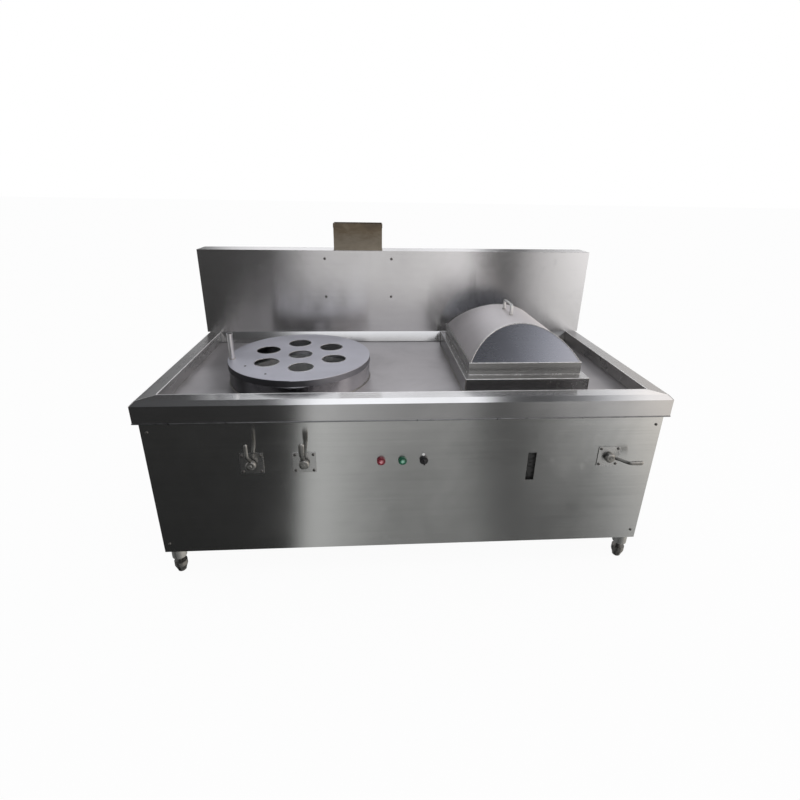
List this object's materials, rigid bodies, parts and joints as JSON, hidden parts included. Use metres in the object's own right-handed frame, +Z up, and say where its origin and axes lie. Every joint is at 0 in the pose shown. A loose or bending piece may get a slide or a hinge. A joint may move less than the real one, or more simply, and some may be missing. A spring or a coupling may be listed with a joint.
{
  "type": "gas dumpling steamer range",
  "caption": "Stainless gas steam range: a round perforated steam drum and an arched lift-off lid over a tray steamer share one rimmed table with a hollow flue splash.",
  "frame": {"origin": "on the floor, in the middle of the space the range takes up", "axes": "+X along the table to its right end, +Y from the control panel to the splash, +Z up"},
  "size_m": [1.8, 0.944, 1.217],
  "materials": {
    "deck_steel": "brushed",
    "rim_steel": "brushed",
    "panel_steel": "brushed",
    "side_steel": "brushed",
    "splash_steel": "brushed",
    "drum_steel": "satin",
    "pot_steel": "satin",
    "tray_steel": "satin",
    "lid_steel": "satin",
    "flue_steel": "heat tinted",
    "inner_steel": "dull",
    "leg_steel": "satin",
    "foot_metal": "satin",
    "lever_chrome": "polished",
    "fastener_steel": "dull",
    "gas_brass": "dull",
    "burner_iron": "rough",
    "firebox_steel": "heat stained",
    "blower_paint": "satin",
    "box_paint": "satin",
    "stop_red": "gloss",
    "start_green": "gloss",
    "black_plastic": "matte"
  },
  "bodies": {
    "table": {"deck": "deck_steel", "front_rim": "rim_steel", "left_rim": "rim_steel", "right_rim": "rim_steel", "front_panel": "panel_steel", "left_panel": "side_steel", "right_panel": "side_steel", "rear_panel": "side_steel", "splash_front": "splash_steel", "splash_back": "splash_steel", "splash_sides": "splash_steel", "splash_top": "splash_steel", "drum_wall": "drum_steel", "boiler_pot": "pot_steel", "trough": "tray_steel", "tray_frame": "tray_steel", "flue_outlet": "flue_steel", "base_shelf": "inner_steel", "flue_riser": "inner_steel", "flue_necks": "inner_steel", "flue_collector": "inner_steel", "air_pipes": "inner_steel", "corner_legs": "leg_steel", "valve_plates": "lever_chrome", "panel_screws": "fastener_steel", "plate_screws": "fastener_steel", "flue_rivets": "fastener_steel", "gas_manifold": "gas_brass", "pilot_valve": "gas_brass", "main_valve": "gas_brass", "right_valve": "gas_brass", "burner_pipes": "gas_brass", "left_burner": "burner_iron", "right_burner": "burner_iron", "left_firebox": "firebox_steel", "right_firebox": "firebox_steel", "blower_housing": "blower_paint", "blower_motor": "blower_paint", "control_box": "box_paint", "button_bodies": "black_plastic", "selector_body": "black_plastic", "cable_gland": "black_plastic"},
    "pilot_lever": {"pilot_lever": "lever_chrome"},
    "main_lever": {"main_lever": "lever_chrome"},
    "right_lever": {"right_lever": "lever_chrome"},
    "stop_button": {"stop_button": "stop_red"},
    "start_button": {"start_button": "start_green"},
    "selector_knob": {"selector_knob": "black_plastic"},
    "lid": {"lid_skirt": "lid_steel", "lid_arch": "lid_steel", "lid_end_plates": "lid_steel", "lid_handle": "lid_steel"},
    "steam_cover": {"steam_plate": "drum_steel", "vent_pipe": "drum_steel"},
    "steam_grid": {"steam_grid": "tray_steel"},
    "foot_front_left": {"foot_front_left": "foot_metal"},
    "foot_front_right": {"foot_front_right": "foot_metal"},
    "foot_rear_left": {"foot_rear_left": "foot_metal"},
    "foot_rear_right": {"foot_rear_right": "foot_metal"},
    "blower_impeller": {"blower_impeller": "blower_paint"}
  },
  "joints": [
    {"name": "pilot_lever_turn", "type": "hinge", "parent": "table", "child": "pilot_lever", "pos_m": [-0.54, -0.415, 0.482], "axis": [0, 1, 0], "range_deg": [0, 90]},
    {"name": "main_lever_turn", "type": "hinge", "parent": "table", "child": "main_lever", "pos_m": [-0.362, -0.415, 0.482], "axis": [0, 1, 0], "range_deg": [0, 90]},
    {"name": "right_lever_turn", "type": "hinge", "parent": "table", "child": "right_lever", "pos_m": [0.715, -0.415, 0.482], "axis": [0, 1, 0], "range_deg": [-90, 0]},
    {"name": "stop_button_push", "type": "slide", "parent": "table", "child": "stop_button", "axis": [0, 1, 0], "range_m": [0, 0.004], "stiffness_N_per_m": 600, "springref_m": -0.002},
    {"name": "start_button_push", "type": "slide", "parent": "table", "child": "start_button", "axis": [0, 1, 0], "range_m": [0, 0.004], "stiffness_N_per_m": 600, "springref_m": -0.002},
    {"name": "selector_knob_turn", "type": "hinge", "parent": "table", "child": "selector_knob", "pos_m": [0.05, -0.415, 0.482], "axis": [0, 1, 0], "range_deg": [-45, 45]},
    {"name": "lid_lift", "type": "slide", "parent": "table", "child": "lid", "axis": [0, 0, 1], "range_m": [0, 0.35]},
    {"name": "steam_cover_lift", "type": "slide", "parent": "table", "child": "steam_cover", "axis": [0, 0, 1], "range_m": [0, 0.25]},
    {"name": "steam_grid_lift", "type": "slide", "parent": "table", "child": "steam_grid", "axis": [0, 0, 1], "range_m": [0, 0.09]},
    {"name": "foot_front_left_level", "type": "slide", "parent": "table", "child": "foot_front_left", "axis": [0, 0, 1], "range_m": [0, 0.02]},
    {"name": "foot_front_right_level", "type": "slide", "parent": "table", "child": "foot_front_right", "axis": [0, 0, 1], "range_m": [0, 0.02]},
    {"name": "foot_rear_left_level", "type": "slide", "parent": "table", "child": "foot_rear_left", "axis": [0, 0, 1], "range_m": [0, 0.02]},
    {"name": "foot_rear_right_level", "type": "slide", "parent": "table", "child": "foot_rear_right", "axis": [0, 0, 1], "range_m": [0, 0.02]},
    {"name": "blower_spin", "type": "hinge", "parent": "table", "child": "blower_impeller", "pos_m": [0.03595, -0.075, 0.254], "axis": [0, 1, 0], "continuous": true}
  ]
}
